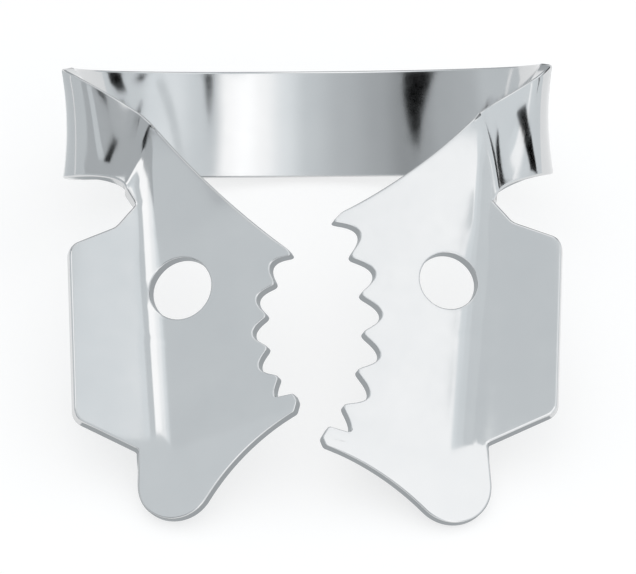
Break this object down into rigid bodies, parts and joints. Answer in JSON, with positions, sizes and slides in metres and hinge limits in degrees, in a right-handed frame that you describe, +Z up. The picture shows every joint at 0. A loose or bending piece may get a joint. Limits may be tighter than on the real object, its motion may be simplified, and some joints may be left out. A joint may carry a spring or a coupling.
{
  "type": "rubber dam clamp",
  "caption": "Winged spring clamp that grips a tooth between two toothed jaws joined by a flat bow and holds a rubber dam sheet in place.",
  "frame": {"origin": "centre of the clamp's box at the level of the surface that it lies on", "axes": "+X from the narrow jaw to the wide jaw, +Y from the front lobes to the bow, +Z up, away from the surface, which is the side that faces the gum in use"},
  "size_m": [0.0252, 0.0288, 0.01],
  "materials": {
    "spring_steel": "satin, with bright rounded rims"
  },
  "bodies": {
    "root": {"clamp": "spring_steel"}
  },
  "joints": []
}
